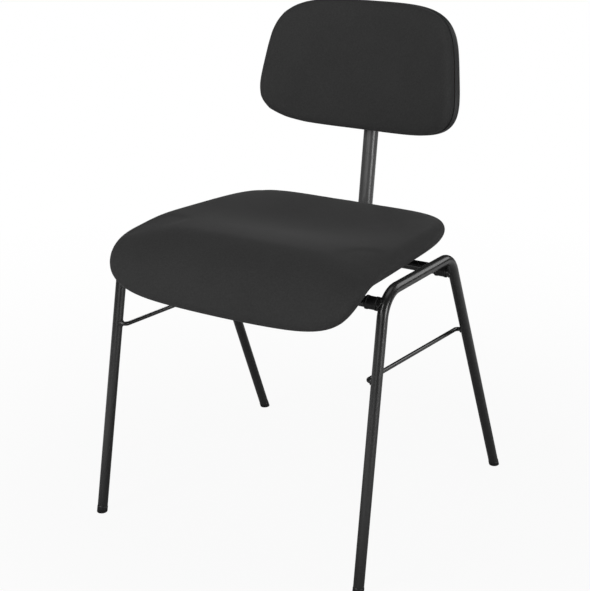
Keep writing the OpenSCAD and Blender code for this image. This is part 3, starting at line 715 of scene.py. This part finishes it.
def make_back_pad():
    """Its rear edge folds in, just clear of the rim of the shell."""
    front, rear = BACK_T / 2, SHELL_FRONT + BOARD_GAP
    profile = arc((BACK_EDGE_R, front - BACK_EDGE_R), BACK_EDGE_R, 90, 180, EDGE_STEPS)
    profile.append((0.0, rear + BACK_FOLD_R + 1))
    profile += arc((BACK_FOLD_R, rear + BACK_FOLD_R), BACK_FOLD_R, 180, 270, 4)
    pad = make_pad("back_pad", BACK_CELLS, profile, back_place, back_flat,
                   back_cloth, puff_mm=1.0)
    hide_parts("back_cushion")


def step_up(t):
    """Goes smoothly from 0 to 1."""
    t = min(max(t, 0), 1)
    return t * t * (3 - 2 * t)


def shell_place(a, b, inset, height, face):
    """The shell's rear face goes flat where the steel plate lies on it."""
    u, z = back_map(a, b, inset)
    if face == -1:
        flat = WRAP_R - (WRAP_R + BACK_T / 2) / cos(u / WRAP_R)
        far = hypot(max(abs(u) - PLATE_W / 2, 0), max(abs(z) - PLATE_H / 2, 0))
        height += (flat - height) * (1 - step_up(far / BOSS_RUN))
    return back_at(u, z, height)


def make_back_shell():
    """Open towards the board: its floor, its inner wall, its rim, then its outside."""
    rear = -BACK_T / 2
    edge_r = 2 * SHELL_WALL
    profile = [(SHELL_WALL, SHELL_FLOOR), (SHELL_WALL, SHELL_FLOOR + 2 * SHELL_WALL),
               (SHELL_WALL, SHELL_FRONT - SHELL_INNER_EDGE), (SHELL_WALL - SHELL_INNER_EDGE, SHELL_FRONT),
               (SHELL_OUTER_EDGE, SHELL_FRONT), (0.0, SHELL_FRONT - SHELL_OUTER_EDGE),
               (0.0, SHELL_FRONT - SHELL_LAND)]
    profile += arc((edge_r, rear + edge_r), edge_r, 180, 270, EDGE_STEPS)
    bm, _ = shape_block(SHELL_CELLS, profile, shell_place)
    finish_piece("back_shell_moulding", bm, shell_plastic, "back_shell", recalc=False)


# Tubes, swept so that their bends run into the straight parts without a line

GLIDE_HEAD, POST_BEND_R = 11.0, 70.0


def make_side_tube(hand, side):
    """Both legs and the rail between them, one tube."""
    bm = bmesh.new()
    path = bent([FRONT_FOOT + GLIDE_HEAD * unit(FRONT_LEG), FRONT_CORNER, REAR_CORNER,
                 REAR_FOOT + GLIDE_HEAD * unit(REAR_LEG)], BEND_R)
    bar(bm, [in_frame(side, 0, place) for place in path], lambda share: TUBE_R, sides=40)
    finish_piece(hand + "_side_tube", bm, coat, hand + "_side_frame")


def make_post_tube():
    """From under the seat up behind the backrest."""
    bm = bmesh.new()
    path = bent([POST_FRONT_END, POST_CORNER, POST_TOP_END], POST_BEND_R)
    bar(bm, [Vector((0, y, z)) for y, z in path], lambda share: POST_R, sides=48)
    # Its paler coat is painted light
    finish_piece("back_post_tube", bm, painted_light_post_coat, "back_post")


# Small hard parts

GLIDE_R, GLIDE_PLUG_R = TUBE_R + 0.4, BORE_R - 0.2
GLIDE_BELOW, GLIDE_PLUG, GLIDE_EDGE = 16.0, 20.0, 0.7
GLIDE_SHOULDER = ((0.0, 1.6), (0.2, 0.8), (0.8, 0.1), (0.7, 0.0))


def make_glide(corner, side, foot, leg):
    """Plastic foot: a rounded head under the tube's end and a plug in it, cut level at
    the floor. The shoulder's steps run in from its side and up to its top."""
    bm = bmesh.new()
    start = in_frame(side, 0, foot)
    place = stand(start, in_frame(side, 0, foot + unit(leg)) - start)
    profile = [(GLIDE_R, -GLIDE_BELOW)]
    profile += [(GLIDE_R - inset, GLIDE_HEAD - drop) for inset, drop in GLIDE_SHOULDER]
    profile += [(GLIDE_PLUG_R, GLIDE_HEAD), (GLIDE_PLUG_R, GLIDE_HEAD + GLIDE_PLUG),
                (GLIDE_PLUG_R - 1, GLIDE_HEAD + GLIDE_PLUG + 2)]
    bmesh.ops.holes_fill(bm, edges=turned(bm, profile, place))
    cut = bmesh.ops.bisect_plane(bm, geom=bm.verts[:] + bm.edges[:] + bm.faces[:], plane_co=(0, 0, 0),
                                 plane_no=(0, 0, -1), clear_outer=True)["geom_cut"]
    rim = [e for e in cut if isinstance(e, bmesh.types.BMEdge)]
    bmesh.ops.contextual_create(bm, geom=rim)
    bmesh.ops.bevel(bm, geom=rim, offset=GLIDE_EDGE, segments=2, profile=0.5, affect="EDGES", material=-1)
    finish_piece(corner + "_glide_cap", bm, glide_plastic, corner + "_glide")


def make_bumper(corner, side, cross):
    """Soft sleeve on a cross tube, with a collar at each end."""
    bm = bmesh.new()
    length, wall, gap, collar, waist, edge, slack = 19.0, 2.1, 2.0, 3.4, 0.6, 0.5, 0.05
    outer, inner = TUBE_R + wall, TUBE_R + slack
    start = out_at(cross[1]) - TUBE_R - gap - length
    place = stand((side * start, cross[0], cross[1]), (side, 0, 0))
    half = [(inner, 0), (outer - edge, 0), (outer, edge), (outer, collar),
            (outer - waist, collar + waist)]
    turned(bm, half + [(r, length - h) for r, h in reversed(half)], place, closed=True)
    finish_piece(corner + "_bumper_sleeve", bm, bumper_plastic, corner + "_bumper")


CAP_DOME = ((3.5, 2.0), (7.0, 1.85), (9.6, 1.45), (11.2, 0.9))
CAP_R, CAP_EDGE, CAP_PLUG, CAP_CLEARANCE = POST_R - 0.1, 0.35, 20.0, 0.2


def make_post_cap(name, end, direction):
    """Domed cap in an end of the back post."""
    bm = bmesh.new()
    plug_r = POST_R - POST_WALL - CAP_CLEARANCE
    place = stand((0, end[0], end[1]), (0, direction[0], direction[1]))
    plug = [(CAP_R, CAP_EDGE), (CAP_R, 0), (plug_r, 0), (plug_r, -CAP_PLUG), (plug_r - 1, -CAP_PLUG - 2)]
    bmesh.ops.holes_fill(bm, edges=turned(bm, list(CAP_DOME) + plug, place))
    finish_piece(name + "_cap", bm, glide_plastic, name)


HEAD_DOME = ((3.5, 3.0), (4.8, 2.7), (5.6, 2.0), (6.0, 1.0), (6.0, 0.0))
SHANK_R, SCREW_TIP_R, SOCKET_R, SOCKET_DEPTH = 2.95, 2.2, 2.2, 1.9


def button_screw(bm, place, reach):
    """Screw with a domed head and a hexagon socket. +Z of place looks out of its head."""
    shank = [(SHANK_R, 0), (SHANK_R, -reach + 1), (SCREW_TIP_R, -reach)]
    rims = turned(bm, list(HEAD_DOME) + shank, place, sides=24)
    to_own = place.inverted()
    top = [e for e in rims if (to_own @ e.verts[0].co).z > 0]
    bmesh.ops.holes_fill(bm, edges=[e for e in rims if e not in top])
    socket = ring_of_edges(bm, place @ Matrix.Translation((0, 0, HEAD_DOME[0][1])), SOCKET_R, 6)
    bmesh.ops.triangle_fill(bm, edges=top + socket, use_beauty=True)
    sunk = bmesh.ops.extrude_edge_only(bm, edges=socket)["geom"]
    bmesh.ops.translate(bm, verts=[g for g in sunk if isinstance(g, bmesh.types.BMVert)],
                        vec=-SOCKET_DEPTH * place.col[2].xyz)
    bottom = [g for g in sunk if isinstance(g, bmesh.types.BMEdge) and g.is_boundary]
    bmesh.ops.holes_fill(bm, edges=bottom)


SCREW_SPACING, WASHER_T, COUNTERBORE = 232.0, 1.2, 4.5
BACK_SCREW_SPACING, BACK_SCREW_RISE = 60.0, 74.0


def make_screws():
    """Up through the cross tubes into the seat, and through the plate into the back."""
    bm = bmesh.new()
    rows = ((-SEAT_OVERHANG - CROSS_GAP * cos(SPACER_TILT), FRONT_SPACER), (-SEAT_OVERHANG, REAR_SPACER))
    for y, spacer in rows:
        low = -SEAT_UNDER - spacer - 2 * TUBE_R - WASHER_T
        for side in (-1, 1):
            at = seat_local(side * SCREW_SPACING / 2, y, low)
            below = seat_local(side * SCREW_SPACING / 2, y, low - 1)
            button_screw(bm, stand(at, below - at), BOARD_TOP - COUNTERBORE - low)
    finish_piece("seat_button_screws", bm, zinc, "seat_screws")
    bm = bmesh.new()
    out = BACK_T / 2 + PLATE_T + WASHER_T
    for side in (-1, 1):
        for level in (-1, 1):
            x, z = side * BACK_SCREW_SPACING / 2, level * BACK_SCREW_RISE / 2
            at = back_local(x, out, z)
            button_screw(bm, stand(at, back_local(x, out + 1, z) - at), out + SHELL_FRONT - COUNTERBORE)
    finish_piece("back_button_screws", bm, zinc, "back_screws")


# Weld beads, in the same coat as the tubes

BEAD_R, BEAD_TIP = 1.7, 0.25
RIPPLES, COLLAR_RIPPLE, STITCH_RIPPLE = 12, 0.05, 0.06


def tapered(size):
    """A bead that thins out towards both ends, with the welder's ripples."""
    def radius(share):
        full = BEAD_TIP + (1 - BEAD_TIP) * (4 * share * (1 - share)) ** 0.25
        return size * full * (1 + STITCH_RIPPLE * sin(2 * pi * RIPPLES * share))
    return radius


def collar_bead(side, joint, leg, bar_r):
    """Bead all round the end of a bar, in the saddle where it meets a side tube. It
    thins out where the bar is as wide as the tube and the two meet at a slant."""
    steps, lowest, thinnest, proud = 72, 3.0, 0.5, BEAD_R / 4
    width = (bar_r / TUBE_R) ** 2
    bm = bmesh.new()
    points, sizes = [], []
    for k in range(steps):
        turn = 2 * pi * k / steps
        slant = sin(turn - leg) ** 2
        size = BEAD_R * (1 - thinnest * width * slant) * (1 + COLLAR_RIPPLE * sin(RIPPLES * turn))
        ring_r = bar_r + proud * (1 - width * slant)
        across = -sqrt(max((TUBE_R + proud) ** 2 - ring_r ** 2 * slant, lowest))
        points.append(in_frame(side, across, joint + ring_r * unit(turn)))
        sizes.append(size)
    bar(bm, points, lambda share: sizes[round(share * (steps - 1))], closed=True)
    return bm


def make_post_beads(name, cross):
    """Two short beads where the post crosses under a cross tube."""
    half_len, steps, size, clear, spread = 7.0, 12, 2.3, 5.0, 0.08
    along, away = unit(CROSS_ANGLE), unit(CROSS_ANGLE + pi / 2)
    bm = bmesh.new()
    for side in (-1, 1):
        points = []
        for k in range(steps + 1):
            x = half_len * (2 * k / steps - 1)
            ahead = clear + abs(x) * spread
            tube, post = sqrt(TUBE_R ** 2 - ahead ** 2), TUBE_R + POST_R - sqrt(POST_R ** 2 - x * x)
            place = cross + side * ahead * along + (tube + post) / 2 * away
            points.append(Vector((x, place[0], place[1])))
        bar(bm, points, tapered(size))
    finish_piece(name, bm, coat)


def make_plate_beads():
    """Stitched beads down both sides of the post, where the steel plate meets it."""
    x, size, spacing, length, steps = 6.8, 1.9, 30.0, 22.0, 16
    gap = POST_R - sqrt(POST_R ** 2 - x * x)
    face = BACK_T / 2 + PLATE_T
    bm = bmesh.new()
    for side in (-1, 1):
        for row in (-1, 0, 1):
            low = row * spacing - length / 2
            points = [back_local(side * x, face + gap / 2, low + length * k / steps)
                      for k in range(steps + 1)]
            bar(bm, points, tapered(size))
    finish_piece("plate_weld_beads", bm, coat)


def make_hem():
    """Folded edge of the seat fabric, all round the sheet under the seat."""
    steps, size, sunk = 160, 1.3, 0.2
    bm = bmesh.new()
    points = []
    for k in range(steps):
        turn = 2 * pi * (k + 0.5) / steps
        m = max(abs(cos(turn)), abs(sin(turn)))
        points.append(seat_place(cos(turn) / m, sin(turn) / m, BOARD_INSET - size, sunk - SEAT_UNDER, 0))
    bar(bm, points, lambda share: size, closed=True)
    finish_piece("seat_fabric_hem", bm, seat_cloth)


def break_edges(name, width):
    """Rounds the sharp edges of a CAD node a little."""
    edges = nodes[name].modifiers.new("broken_edges", "BEVEL")
    edges.width, edges.segments = width * MM, 2
    edges.limit_method, edges.angle_limit = "ANGLE", radians(50)


# All the pieces

break_edges("back_plate", width=0.8)
for corner in CORNERS:
    break_edges(corner + "_spacer", width=1.2)
make_seat_pad()
make_seat_cover()
make_hem()
make_back_pad()
make_back_shell()
make_post_tube()
for side, hand in ((-1, "left"), (1, "right")):
    make_side_tube(hand, side)
    for end, foot, leg, joint, cross, rod in (
            ("front", FRONT_FOOT, FRONT_LEG, FRONT_JOINT, FRONT_CROSS, ROD_FRONT),
            ("rear", REAR_FOOT, REAR_LEG, REAR_JOINT, REAR_CROSS, ROD_REAR)):
        corner = end + "_" + hand
        lean = FRONT_JOINT_LEAN if end == "front" else leg
        make_glide(corner, side, foot, leg)
        make_bumper(corner, side, cross)
        finish_piece(corner + "_weld_bead", collar_bead(side, joint, lean, TUBE_R), coat)
        finish_piece(corner + "_rod_weld_bead", collar_bead(side, rod, leg, ROD_R), coat)
make_post_beads("front_post_weld_beads", FRONT_CROSS)
make_post_beads("rear_post_weld_beads", REAR_CROSS)
make_plate_beads()
make_post_cap("post_front_plug", POST_FRONT_END, unit(CROSS_ANGLE))
make_post_cap("post_top_plug", POST_TOP_END, POST_UP)
make_screws()
